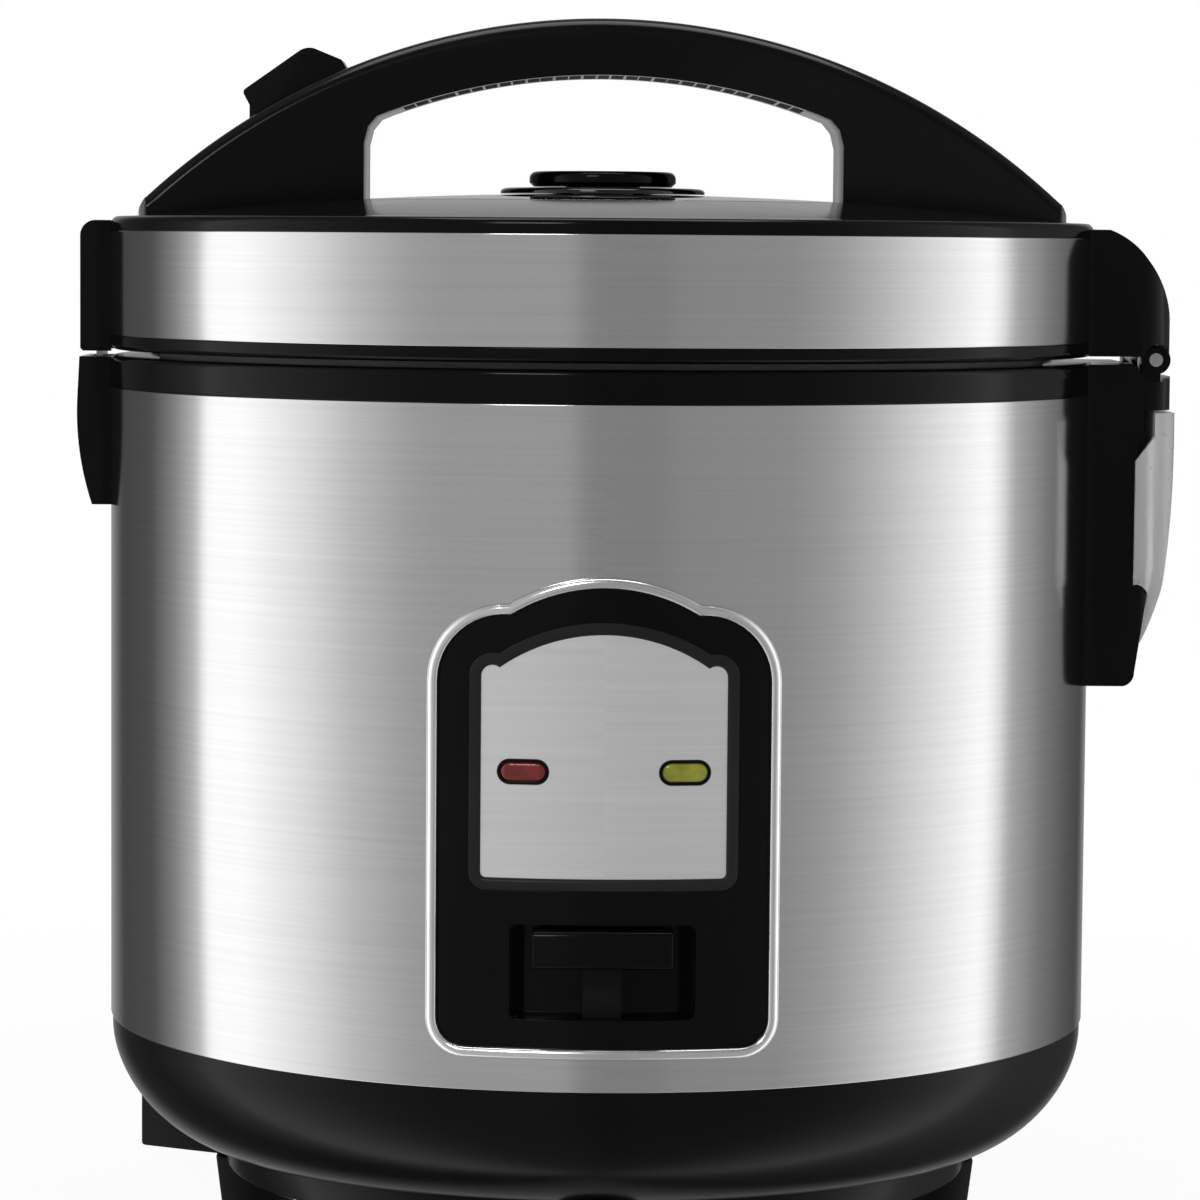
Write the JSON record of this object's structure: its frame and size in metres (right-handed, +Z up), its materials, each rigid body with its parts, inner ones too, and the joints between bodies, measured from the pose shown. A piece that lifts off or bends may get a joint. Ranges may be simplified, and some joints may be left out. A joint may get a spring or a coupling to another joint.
{
  "type": "rice cooker",
  "caption": "Round steel rice cooker with a hinged windowed lid, an arched carrying handle, a push release, an inner pot and a lever switch.",
  "frame": {"origin": "on the floor under the middle of the round body", "axes": "+Z up, -Y towards the front with the control panel, +X towards the lid's hinge"},
  "size_m": [0.2437, 0.2226, 0.2698],
  "materials": {
    "brushed_steel": "stainless steel, brushed around the body",
    "lining_steel": "bright drawn sheet",
    "plain_steel": "zinc-plated steel",
    "bright_trim": "bright plated trim",
    "grey_trim": "dark grey moulding",
    "silver_label": "satin silver sheet",
    "gloss_black": "glossy black moulding",
    "matte_black": "fine textured black moulding",
    "white_plastic": "natural acetal",
    "red_lens": "tinted clear lens",
    "green_lens": "tinted clear lens",
    "lamp_glass": "clear neon lamp",
    "circuit_board": "paper phenolic board",
    "clear_plastic": "clear frosted moulding",
    "window_glass": "tempered glass",
    "silicone": "moulded silicone",
    "rubber": "moulded rubber",
    "brass": "plated contact pins",
    "pot_aluminium": "non-stick coated inside",
    "cast_aluminium": "cast and turned",
    "mica_band": "mica-wrapped heater",
    "ferrite": "ground ferrite and magnet"
  },
  "bodies": {
    "cooker_body": {"base_bowl": "gloss_black", "body_collar": "gloss_black", "body_screws": "plain_steel", "body_sleeve": "brushed_steel", "bottom_cover": "matte_black", "bottom_screws": "plain_steel", "chamber_liner": "lining_steel", "heat_shield": "cast_aluminium", "heating_element": "plain_steel", "heating_plate": "cast_aluminium", "hinge_pin": "plain_steel", "hinge_spine": "gloss_black", "inlet_pins": "brass", "label_bezel": "grey_trim", "label_plate": "silver_label", "lamp_board": "circuit_board", "lamp_bulbs": "lamp_glass", "lamp_lens_left": "red_lens", "lamp_lens_right": "green_lens", "latch_catch": "gloss_black", "lever_bracket": "plain_steel", "lever_pin": "plain_steel", "micro_switch": "matte_black", "panel_face": "gloss_black", "panel_trim": "bright_trim", "plate_bolts": "plain_steel", "power_inlet": "matte_black", "rubber_feet": "rubber", "sensor_guide": "plain_steel", "sensor_spring": "plain_steel", "thermostat_spring": "plain_steel", "warming_band": "mica_band"},
    "lid": {"lid_band": "brushed_steel", "lid_cover": "gloss_black", "lid_rim": "gloss_black", "lid_lining": "lining_steel", "lid_gasket": "silicone", "window_glass": "window_glass", "window_seal": "silicone", "vent_seat": "gloss_black", "vent_clamp": "matte_black", "handle": "gloss_black", "grip_lining": "matte_black", "lid_screws": "plain_steel", "latch_cover": "gloss_black", "hook_pin": "plain_steel", "hinge_cover": "gloss_black", "button_spring": "plain_steel"},
    "release_button": {"release_button": "gloss_black"},
    "release_slide": {"release_slide": "white_plastic"},
    "latch_hook": {"latch_hook": "plain_steel"},
    "vent_cap": {"vent_cap": "gloss_black"},
    "cook_lever": {"lever_arm": "plain_steel", "lever_key": "gloss_black"},
    "thermostat_magnet": {"thermostat_magnet": "ferrite"},
    "switch_plunger": {"switch_plunger": "white_plastic"},
    "sensor": {"sensor_cap": "cast_aluminium", "ferrite_core": "ferrite"},
    "inner_pot": {"inner_pot": "pot_aluminium"},
    "condensate_cup": {"condensate_cup": "clear_plastic"}
  },
  "joints": [
    {"name": "lid_hinge", "type": "hinge", "parent": "cooker_body", "child": "lid", "pos_m": [0.1228, 0, 0.1952], "axis": [0, 1, 0], "range_deg": [0, 90]},
    {"name": "button_press", "type": "slide", "parent": "lid", "child": "release_button", "axis": [0.4695, 0, -0.8829], "range_m": [0, 0.00264], "stiffness_N_per_m": 500, "springref_m": -0.002, "deforming": ["button_spring"]},
    {"name": "slide_push", "type": "slide", "parent": "lid", "child": "release_slide", "axis": [-1, 0, 0], "range_m": [0, 0.0012]},
    {"name": "hook_turn", "type": "hinge", "parent": "lid", "child": "latch_hook", "pos_m": [-0.1125, 0, 0.204], "axis": [0, -1, 0], "range_deg": [0, 4.6]},
    {"name": "vent_lift", "type": "slide", "parent": "lid", "child": "vent_cap", "axis": [0, 0, 1], "range_m": [0, 0.012]},
    {"name": "lever_press", "type": "hinge", "parent": "cooker_body", "child": "cook_lever", "pos_m": [0, -0.032, 0.05], "axis": [1, 0, 0], "range_deg": [0, 6], "stiffness_Nm_per_rad": 0.3, "springref_deg": -6.88},
    {"name": "magnet_lift", "type": "slide", "parent": "cooker_body", "child": "thermostat_magnet", "axis": [0, 0, 1], "range_m": [0, 0.0034], "deforming": ["thermostat_spring"]},
    {"name": "plunger_push", "type": "slide", "parent": "cooker_body", "child": "switch_plunger", "axis": [0, 0, -1], "range_m": [0, 0.0019]},
    {"name": "sensor_press", "type": "slide", "parent": "cooker_body", "child": "sensor", "axis": [0, 0, -1], "range_m": [0, 0.001], "stiffness_N_per_m": 800, "springref_m": -0.002, "deforming": ["sensor_spring"]},
    {"name": "pot_turn", "type": "hinge", "parent": "cooker_body", "child": "inner_pot", "pos_m": [0, 0, 0.13], "axis": [0, 0, 1], "continuous": true},
    {"name": "cup_slide", "type": "slide", "parent": "cooker_body", "child": "condensate_cup", "axis": [1, 0, 0], "range_m": [0, 0.04]}
  ],
  "couplings": [
    {"joint": "slide_push", "follows": "button_press", "ratio": 0.41667},
    {"joint": "hook_turn", "follows": "button_press", "rad_per_m": 29.75},
    {"joint": "magnet_lift", "follows": "lever_press", "m_per_rad": 0.032},
    {"joint": "plunger_push", "follows": "lever_press", "m_per_rad": 0.018}
  ]
}
